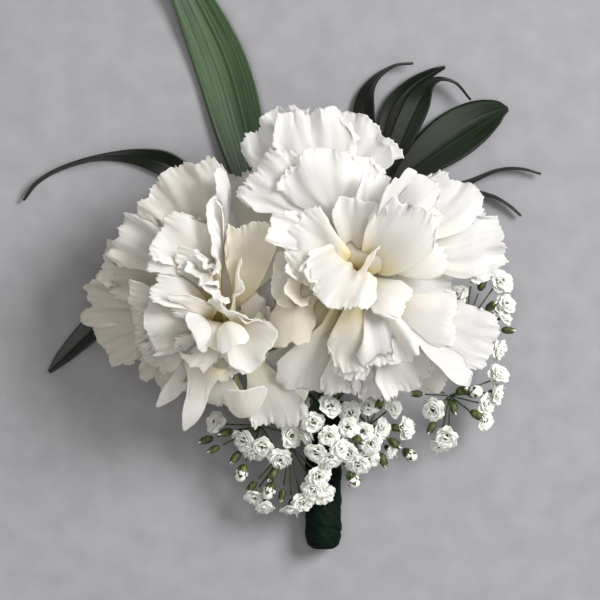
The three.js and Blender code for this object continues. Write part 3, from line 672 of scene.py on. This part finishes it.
def calyxPiece(name, bloom):
    axis, top, right, mouth = bloomAxes(bloom)
    length = calyxShape["length"]
    profile = np.array(calyxShape["profile"])
    v = downRows(calyxShape["rows"])
    turn = aroundTurn(calyxShape["columns"])
    outer = np.interp(v * length, profile[:, 0], profile[:, 1])
    tooth = np.abs(((turn / (2 * math.pi) * calyxShape["teeth"]) % 1) - 0.5) * 2
    ribs = calyxShape["ribDepth"] * np.cos(turn * calyxShape["ribs"]) * smoothStep(0.05, 0.4, v)
    rise = calyxShape["toothHeight"] * tooth ** 1.3 * smoothStep(0.72, 1, v)
    height = -length + v * (length - calyxShape["notchDepth"]) + rise
    radius = outer + ribs + calyxShape["toothFlare"] * tooth * smoothStep(0.8, 1, v)
    points = (mouth + radius[..., None] * (np.cos(turn)[..., None] * top + np.sin(turn)[..., None] * right)
              + height[..., None] * axis)
    calyx = sheetFromPoints(name, place(points))
    mergeDoubles(calyx, weldDistance["piece"])
    applyModifier(calyx, "SOLIDIFY", thickness=calyxShape["wall"] * mm, offset=-1.0)
    return calyx


for side, bloom in blooms.items():
    for whorlName in fillWhorls:
        parts = []
        for petalName, petal in bloom[whorlName].items():
            rng = np.random.default_rng([bloom["seed"], *petalName.encode()])
            columns = 2 * round(1.7 * petal["half"] + 9)
            parts.append(petalSheet(bloom, petal, petalShape["rows"], columns, rng))
        rng = np.random.default_rng([bloom["seed"], *whorlName.encode()])
        for petal in fillPetals(bloom, whorlName, rng):
            parts.append(petalSheet(bloom, petal, petalShape["plainRows"], petalShape["plainColumns"], rng))
        whorl = joinPieces(parts, f"petals_{side}_{whorlName}")
        applyModifier(whorl, "SOLIDIFY", thickness=petalShape["thickness"] * mm, offset=0.0)
        nodes = sorted(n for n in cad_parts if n.startswith(f"petal_{side}_{whorlName}_"))
        finishPiece(whorl, nodes, petalMaterial)
    finishPiece(calyxPiece(f"carnation_calyx_{side}", bloom), [f"calyx_{side}"], calyxMaterial)
    print("carnation", side)


# Stalks and wires: a copy of one of the frame's own rods, rounded.
def roundedRod(nodeName, name, material):
    rod = newObject(name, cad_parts[nodeName].data.copy())
    mergeDoubles(rod, weldDistance["piece"])
    applyModifier(rod, "SUBSURF", levels=2, render_levels=2)
    finishPiece(rod, [nodeName], material)


for side in blooms:
    roundedRod(f"flower_stem_{side}", f"carnation_stem_{side}", carnationStemMaterial)
    roundedRod(f"florist_wire_{side}", f"wire_{side}", wireMaterial)
for side in ("left", "top", "right"):
    roundedRod(f"ruscus_stem_{side}", f"ruscus_stalk_{side}", ruscusStemMaterial)
print("stalks")

# Ruscus leaves. Each has points along its midrib, as [x, y, z, half its width, roll in degrees], and lit is
# how much painted light it takes: a paler green where the light catches it, which fades to painted shade at
# its base, under the blooms.

leafShape = {"thickness": 0.3, "fold": 0.16, "tipHalf": 0.15, "midribDepth": 0.12, "midribWidth": 0.08,
             "rows": 90, "columns": 17}
leaves = {
    "top": {"lit": 0.8, "points": [
        [-6.9, 9.4, 1.9, 0.6, 0], [-8.5, 18.3, 2.3, 2.6, 0], [-12, 34.1, 1.2, 5.2, 4],
        [-16.1, 48.6, 0.9, 5.7, 6], [-22.2, 62, 2.2, 4.2, 4], [-27.9, 71.9, 4.4, 2, 0],
        [-31.4, 77.5, 6.2, 0.4, 0]]},
    "left": {"lit": 0.1, "points": [
        [-18.9, 17.9, 1.4, 0.5, 0], [-22.0, 24.2, 0.7, 1.8, 2], [-27.2, 28.0, 1.2, 2.6, 12],
        [-33.6, 29.8, 2.6, 2.4, 50], [-42, 29.6, 2.5, 2.0, 78], [-49.4, 27.4, 2.0, 1.4, 80],
        [-54.4, 24.4, 1.7, 0.9, 76], [-57.2, 20.6, 1.4, 0.3, 70]]},
    "lower_left": {"lit": 0.0, "points": [
        [-18.1, 12.4, 0.9, 0.5, 0], [-24.4, 7.7, 0.9, 1.6, 0], [-33.1, 2.5, 0.8, 2.4, 0],
        [-42.4, -5.4, 0.75, 2.5, -8], [-48.6, -11.4, 0.9, 1.6, -8], [-51.9, -14.9, 1.2, 0.4, 0]]},
    "upper_narrow": {"lit": 0.05, "points": [
        [17.1, 24.6, 1.6, 0.4, 0], [13.9, 30.9, 1.9, 2.2, 10], [13.4, 39.7, 2.2, 2.4, 30],
        [15.2, 44.9, 2.6, 1.7, 60], [19.4, 48.2, 2.6, 1.2, 80], [23.4, 48.9, 2.6, 0.35, 80]]},
    "upper_middle": {"lit": 0.05, "points": [
        [17.9, 25.6, 1.4, 0.4, 0], [17.3, 32.1, 1, 1.6, -4], [19.2, 39.5, 1, 2.1, -8],
        [22.7, 44, 1.3, 1.7, -20], [26.9, 46.9, 1.6, 1.1, -40], [30, 48.2, 1.6, 0.35, -50]]},
    "upper_hooked": {"lit": 0.12, "points": [
        [18.2, 25.2, 2.6, 0.4, 0], [20.5, 31.9, 3.7, 2.3, 6], [24, 39.7, 4.2, 2.7, 14],
        [27.3, 44.7, 4.4, 1.7, 60], [31.6, 44.9, 4.2, 1.3, 85], [35.2, 41.3, 3.6, 0.35, 85]]},
    "broad": {"lit": 0.16, "points": [
        [19, 23.8, 1.6, 0.5, 0], [24, 28.1, 1.5, 3.4, 4], [30.6, 33.1, 1.6, 5, 8],
        [36.2, 36.6, 1.8, 4.6, 14], [40.5, 38.7, 2.4, 2.9, 24], [43, 39.4, 2.8, 0.5, 30]]},
    "right_upper": {"lit": 0.0, "points": [
        [18.5, 18, 1.7, 0.4, 0], [24.9, 21, 1.9, 1.1, 30], [34.1, 23.8, 1.8, 1.7, 70],
        [40.8, 26.7, 1.8, 1.3, 82], [45.5, 27.1, 1.8, 0.9, 82], [49.8, 26.1, 1.7, 0.3, 80]]},
    "right_lower": {"lit": 0.0, "points": [
        [18, 12.6, 1.4, 0.4, 0], [25.4, 17.3, 1.4, 1.1, 30], [34.1, 21.7, 1.6, 1.5, 66],
        [39.3, 21.5, 1.7, 1.1, 76], [43, 19.6, 1.7, 0.8, 76], [45.7, 17.4, 1.6, 0.3, 70]]},
}


# A smooth curve through points, each row of values carried along with it.
def curveThrough(points, steps):
    points = np.asarray(points, float)
    padded = np.vstack([2 * points[0] - points[1], points, 2 * points[-1] - points[-2]])
    result = []
    for t in np.linspace(0, len(points) - 1, steps):
        k = min(int(t), len(points) - 2)
        s = t - k
        a, b, c, d = padded[k:k + 4]
        result.append(0.5 * (2 * b + (c - a) * s + (2 * a - 5 * b + 4 * c - d) * s ** 2
                             + (3 * b - a - 3 * c + d) * s ** 3))
    return np.array(result)


def leafPiece(name, leaf):
    rows, columns = leafShape["rows"], leafShape["columns"]
    line = curveThrough(leaf["points"], rows)
    centre, half, roll = line[:, :3], np.maximum(line[:, 3], leafShape["tipHalf"]), np.radians(line[:, 4])
    along = unit(np.gradient(centre, axis=0))
    level = unit(np.cross(along, [0, 0, 1]))
    raised = np.cross(level, along)
    across = level * np.cos(roll)[:, None] + raised * np.sin(roll)[:, None]
    face = np.cross(across, along)
    u = np.linspace(-1, 1, columns)
    keel = half[:, None] * leafShape["fold"] * (np.abs(u) ** 1.3)[None, :]
    midrib = -leafShape["midribDepth"] * np.exp(-(u / leafShape["midribWidth"]) ** 2)[None, :]
    points = (centre[:, None, :] + across[:, None, :] * (half[:, None] * u[None, :])[..., None]
              + face[:, None, :] * (keel + midrib)[..., None])
    # Painted shade: the paler green fades out towards the leaf's base, under the blooms.
    lit = leaf["lit"] * smoothStep(0.1, 0.5, downRows(rows))
    obj = sheetFromPoints(f"ruscus_leaf_{name}", place(points), {"lit": lit})
    applyModifier(obj, "SOLIDIFY", thickness=leafShape["thickness"] * mm, offset=0.0)
    finishPiece(obj, [f"leaf_{name}"], leafMaterial)


for name, leaf in leaves.items():
    leafPiece(name, leaf)
print("leaves")


# Floral tape: wound once down the stems, each turn a low step over the last.
def tapePiece():
    endY, topY = tapeShape["endY"], tapeShape["topY"]
    y = endY + (topY - endY) * downRows(tapeShape["rings"]) ** 1.25
    turn = aroundTurn(tapeShape["sides"] + 1)
    heights = [endY, endY + 0.2, endY + 1, endY + 2.8, topY - 2, topY]  # closed and rounded at its end
    body = np.interp(y, heights, [0.02, 2.2, 3.2, tapeShape["radius"], 3.5, 3.25])
    wind = ((y - endY) / tapeShape["pitch"] + turn / (2 * math.pi)) % 1
    step = tapeShape["ridge"] * (1 - wind) ** 0.6
    fine, coarse = tapeShape["creases"]
    crease = fine * np.sin(9 * turn + y * 2.3) + coarse * np.sin(4 * turn - y * 1.1)
    radius = body + (step + crease) * smoothStep(endY, endY + 2.5, y)
    x = tapeShape["x"] + radius * np.sin(turn)
    z = tapeShape["z"] + radius * np.cos(turn)
    obj = sheetFromPoints("tape_wrap", place(np.stack([x, y + 0 * turn, z], axis=-1)))
    mergeDoubles(obj, weldDistance["piece"])
    applyModifier(obj, "SOLIDIFY", thickness=tapeShape["thickness"] * mm, offset=-1.0)
    finishPiece(obj, ["floral_tape"], tapeMaterial)


tapePiece()
print("tape")

# Baby's breath. A sprig's stem ends at its first fork, and twigs run from forks to florets, buds and calyces.

sprigShape = {"stemRadius": 0.25, "twigRadius": 0.16, "stalkSides": 6, "ringRadius": 2.4, "ringStep": 18,
              "runMiddle": -38.0, "lift": 1.2, "flowerFoot": 1.6}
sprigs = [
    {"stem": [[1.6, -21.6, 7.2], [-3.6, -22.8, 9.4]], "forks": [
        {"at": [-8, -25.5, 10.6],
         "floret": [[-17.1, -24.8, 11], [-11.4, -28.3, 11.5], [-9.2, -30.6, 10.5], [-7.6, -29.5, 12.5],
            [-2, -27.4, 13.5], [-4.1, -32.1, 12]],
         "bud": [[-11.8, -35, 9.5]],
         "calyx": [[-15.1, -27, 11.5], [-17.8, -30.6, 9.5], [-19.2, -28.6, 9.5], [-13.2, -32.2, 10]]},
    ]},
    {"stem": [[3.2, -21.4, 8.2], [1.8, -22.6, 10.6]], "forks": [
        {"at": [-2.2, -29.5, 11],
         "floret": [[3.6, -35.4, 14], [2.8, -38.2, 12.5], [0.5, -41, 11], [-1.7, -42.2, 9.5],
            [4.6, -39.5, 10], [-9.2, -40.2, 9], [-7.4, -42, 8.5]],
         "bud": [[-6.1, -38.5, 11]],
         "calyx": [[-3.7, -40, 10], [-5.7, -35.6, 12], [-10, -38.3, 9]]},
    ]},
    {"stem": [[4.8, -20.4, 8.6], [4.8, -20.6, 13.4]], "forks": [
        {"at": [3.8, -24.4, 15.6],
         "floret": [[6, -21.8, 17.5], [2.7, -24.6, 17.5], [5.8, -27.2, 18.4], [0.2, -21.9, 13],
            [3.4, -30.5, 16], [6.1, -32.2, 15.5], [7.9, -29.8, 17], [1.5, -27.7, 15], [-0.8, -25.3, 13]],
         "bud": [[10.6, -36.2, 12.5]],
         "calyx": [[0.4, -23.5, 15], [11.7, -28.2, 17]]},
    ]},
    {"stem": [[7.2, -20.6, 8.2], [10.5, -22, 10.8]], "forks": [
        {"at": [14, -25.5, 11.6],
         "floret": [[10.3, -22.8, 16.5], [9.7, -25.6, 18], [12.7, -26.5, 16.5], [14.3, -29, 14.5],
            [16.4, -26, 13.5], [9.9, -30.9, 15.5], [11.8, -33.1, 13.5], [18.9, -22.1, 12], [13.7, -32.1, 12],
            [18.4, -30.6, 10], [21.4, -26.3, 10.5], [13.8, -21.9, 13]],
         "bud": [[22.2, -31.4, 10]],
         "calyx": [[19.7, -26, 12], [19.2, -29.1, 12], [16.1, -21.1, 13.5], [16.9, -32.6, 11]]},
    ]},
    {"stem": [[9.4, -18.6, 6.8], [17, -14, 8.6], [26, -17.5, 9.6]], "forks": [
        {"at": [30.5, -19.5, 9.8],
         "floret": [[27.2, -22.2, 12], [29.9, -27.9, 10], [28.5, -29.7, 8.5], [38, -21.2, 10],
            [37.8, -24.7, 9], [40.4, -15.3, 11], [39.9, -18.9, 9.5]],
         "bud": [[35.2, -18.7, 12]],
         "calyx": [[33, -18.3, 11.5], [31.3, -21.8, 10], [36, -23.4, 11], [23.5, -19.1, 11],
            [26.8, -26.1, 10]]},
        {"at": [33.6, -5.5, 9.4],
         "floret": [[35.2, 4.9, 12], [31.9, 0.7, 12.5], [40.8, 3.8, 10.5], [42.1, -0.8, 9.5],
            [41, -3.1, 8.8], [40.6, -10.2, 8.5]],
         "bud": [[25.1, 1.2, 11]],
         "calyx": [[37.1, 3.3, 11], [39, -1.2, 10.5], [42.7, -6.2, 9], [28.9, 0.2, 12]]},
    ]},
]

# A floret's whorls of small petals: how many, length, half width and how far they open, in degrees.
floretShape = {"whorls": [[6, 2.7, 1.45, 86], [6, 2.5, 1.35, 62], [6, 2.2, 1.15, 40], [5, 1.9, 1.0, 16],
                          [3, 2.9, 0.07, 30]],
               "cup": [[0.02, 0], [0.42, 0.15], [0.62, 0.6], [0.72, 1.2], [0.66, 1.75]],
               "eye": [[0.42, 1.3], [0.5, 1.9], [0.34, 2.35], [0.02, 2.5]], "thickness": 0.09}
# A bud is a white ball in a cup, and a calyx a cup with a white tip: profile, sides, material and teeth.
closedShapes = {
    "bud": [([[0.02, 0.6], [0.945, 0.9], [1.323, 1.645], [1.35, 2.215], [1.1475, 2.975], [0.6075, 3.545],
              [0.02, 3.735]], 12, floretMaterial, 0.0),
            ([[0.02, 0], [0.5, 0.1], [0.9, 0.6], [1.2825, 1.4], [1.404, 2.0]], 10, floretCalyxMaterial, 1.1)],
    "calyx": [([[0.02, 0], [0.5, 0.2], [0.85, 1.0], [0.8, 1.9], [0.5, 2.6]], 10, floretCalyxMaterial, 0.5),
              ([[0.45, 2.0], [0.55, 2.7], [0.02, 3.2]], 8, floretMaterial, 0.0)],
}


# A flower's parts are made upright at the origin, with its base where the stalk meets it.
def smallPetal(length, half, opening, turn, rng):
    v = downRows(4)
    u = np.linspace(-1, 1, 5)[None, :]
    width = half * (0.25 + 0.75 * np.sin(v * math.pi * 0.62)) * (1 - 0.25 * v ** 6)
    bend = math.radians(opening) * (0.45 + 0.55 * v) + rng.uniform(-0.15, 0.15)
    out = 0.25 + np.cumsum(np.sin(bend) * length / 3 * (v > 0), axis=0) + 0 * u
    up = np.cumsum(np.cos(bend) * length / 3 * (v > 0), axis=0) + 0 * u
    notch = -length * (0.08 * np.exp(-(u / 0.3) ** 2) * v ** 6 + 0.24 * np.abs(u) ** 3 * v ** 3)
    ripple = rng.uniform(0.0, 0.4) * u ** 2 + 0.12 * np.sin(3 * u + rng.uniform(0, 6))
    out = out + notch * np.sin(bend)
    up = up + notch * np.cos(bend) + half * v * ripple
    side = u * width
    points = np.stack([out * math.cos(turn) - side * math.sin(turn),
                       out * math.sin(turn) + side * math.cos(turn), up], axis=-1)
    return sheetFromPoints("smallPetal", points * mm)


def smallCup(profile, sides, material, teeth):
    profile = np.asarray(profile, float)
    turn = aroundTurn(sides + 1)
    radius, height = profile[:, :1], profile[:, 1:]
    height = height + teeth * downRows(len(profile)) ** 6 * np.abs(np.sin(turn * 2.5))
    points = np.stack([radius * np.cos(turn), radius * np.sin(turn), height + 0 * turn], axis=-1)
    cup = sheetFromPoints("cup", points * mm)
    mergeDoubles(cup, weldDistance["cup"])
    setMaterial(cup, material)
    return cup


def floretTemplate(seed):
    rng = np.random.default_rng(seed)
    petals = []
    for count, length, half, opening in floretShape["whorls"]:
        offset = rng.uniform(0, 6)
        for k in range(count):
            turn = 2 * math.pi * k / count + offset + rng.uniform(-0.15, 0.15)
            longer = rng.uniform(0.85, 1.1)
            petals.append(smallPetal(length * longer, half, opening + rng.uniform(-12, 12), turn, rng))
    corolla = joinPieces(petals, "corolla")
    corolla.data.transform(Matrix.Translation((0, 0, 1.0 * mm)))
    applyModifier(corolla, "SOLIDIFY", thickness=floretShape["thickness"] * mm, offset=0.0)
    setMaterial(corolla, floretMaterial)
    cup = smallCup(floretShape["cup"], 10, floretCalyxMaterial, 0.5)
    eye = smallCup(floretShape["eye"], 8, floretCalyxMaterial, 0.0)
    return joinPieces([corolla, cup, eye], "floret")


templates = {"floret": [floretTemplate(seed) for seed in (3, 5, 8, 13)]}
for kind, cups in closedShapes.items():
    templates[kind] = [joinPieces([smallCup(*cup) for cup in cups], kind)]


def stalk(points, radius):
    line = curveThrough(points, 3 * len(points) + 4)
    along = unit(np.gradient(line, axis=0))
    sideways = unit(np.cross(along, [0.31, 0.2, 0.93]))  # a slant that no stalk runs along
    up = np.cross(along, sideways)
    turn = aroundTurn(sprigShape["stalkSides"] + 1)[..., None]
    thickness = np.full(len(line), radius)
    thickness[0] = thickness[-1] = 0.01
    line[0], line[-1] = line[1], line[-2]
    points = line[:, None, :] + thickness[:, None, None] * (
        np.cos(turn) * sideways[:, None, :] + np.sin(turn) * up[:, None, :])
    obj = sheetFromPoints("stalk", place(points))
    setMaterial(obj, sprigStemMaterial)
    return obj


def stamped(template, position, direction, spin, size):
    obj = newObject("flower", template.data.copy())
    turn = Vector(direction).to_track_quat("Z", "Y").to_matrix().to_4x4()
    obj.data.transform(Matrix.Translation(Vector(place(position))) @ turn @ Matrix.Rotation(spin, 4, "Z")
                       @ Matrix.Scale(size, 4))
    return obj


# A twig bends up from its fork to one floret, bud or calyx, which faces outwards and up.
def twigWithFlower(kind, fork, end, rng):
    fork, end = np.array(fork, float), np.array(end, float)
    lift = 0.7 if kind == "floret" else 0.1
    face = unit(unit(end - fork) * 0.8 + np.array([0, 0, lift]) + rng.uniform(-0.45, 0.45, 3) * lift)
    base = end - face * sprigShape["flowerFoot"]
    bend = (fork + base) / 2 + np.array([0, 0, sprigShape["lift"]])
    twig = stalk([fork, bend, base], sprigShape["twigRadius"])
    template = templates[kind][rng.integers(len(templates[kind]))]
    return [twig, stamped(template, base, face, rng.uniform(0, 6.28), rng.uniform(0.88, 1.08))]


# A sprig's stem runs up inside the tape, in a ring round its middle.
def sprigPiece(k, sprig, rng):
    angle = math.radians((k - (len(sprigs) - 1) / 2) * sprigShape["ringStep"])
    x = tapeShape["x"] + sprigShape["ringRadius"] * math.sin(angle)
    z = tapeShape["z"] + sprigShape["ringRadius"] * math.cos(angle)
    endY, topY = tapeShape["endY"], tapeShape["topY"]
    run = [[x, y, z] for y in (endY + 1.2, sprigShape["runMiddle"], topY - 4, topY + 0.8)]
    parts = []
    for n, fork in enumerate(sprig["forks"]):
        line = run + sprig["stem"] if n == 0 else [sprig["stem"][-2]]
        parts.append(stalk(line + [fork["at"]], sprigShape["stemRadius"]))
        for kind in templates:
            for end in fork[kind]:
                parts += twigWithFlower(kind, fork["at"], end, rng)
    obj = joinPieces(parts, f"babys_breath_sprig_{k + 1}")
    mergeDoubles(obj, weldDistance["sprig"])
    finishPiece(obj, [f"babys_breath_{k + 1}"])


rng = np.random.default_rng(41)
for k, sprig in enumerate(sprigs):
    sprigPiece(k, sprig, rng)
for template in sum(templates.values(), []):
    bpy.data.objects.remove(template)
print("baby's breath")

# Table, light and camera. Lights are placed in metres from the frame's origin, the camera in millimetres.

studio = {
    "floorSize": 6, "boardGrain": (5.556, 5.556, 5.556), "aim": (0, 0, 0.02),
    "lights": {"keyLight": {"position": (0.56, 0.28, 0.66), "size": 0.42, "energy": 9.2},
               "fillLight": {"position": (0.0, -0.1, 0.9), "size": 0.8, "energy": 2.5}},
    "lightColor": (1.0, 0.99, 0.98), "world": {"Color": (0.97, 0.92, 0.84, 1), "Strength": 0.3},
    "camera": [0, 0, 622], "lens": 180, "sensor": 36,
}


# Board painted a matt pale grey.
def floorPiece():
    bpy.ops.object.select_all(action="DESELECT")
    bpy.ops.mesh.primitive_plane_add(size=studio["floorSize"], location=(0, 0, 0))
    floor = bpy.context.object
    floor.name = "table_top"
    setMaterial(floor, grainedFinish("paintedBoard", {"Roughness": 0.8}, studio["boardGrain"], 3.0,
                                     [(0.3, "#929297"), (0.7, "#9b9ba0")]))


def softbox(name, position, size, energy):
    light = bpy.data.lights.new(name, "AREA")
    light.shape = "DISK"
    light.size = size
    light.energy = energy
    light.color = studio["lightColor"]
    obj = newObject(name, light)
    obj.location = position
    obj.rotation_euler = (Vector(studio["aim"]) - Vector(position)).to_track_quat("-Z", "Y").to_euler()


floorPiece()
for name, light in studio["lights"].items():
    softbox(name, **light)
world = bpy.data.worlds.new("studio")
world.use_nodes = True
setInputs(world.node_tree.nodes["Background"], studio["world"])
bpy.context.scene.world = world
bpy.context.scene.view_settings.view_transform = "Standard"

cameraData = bpy.data.cameras.new("camera")
cameraData.lens = studio["lens"]
cameraData.sensor_width = studio["sensor"]
camera = newObject("camera", cameraData)
camera.location = place(studio["camera"])
bpy.context.scene.camera = camera
print("table, light and camera")
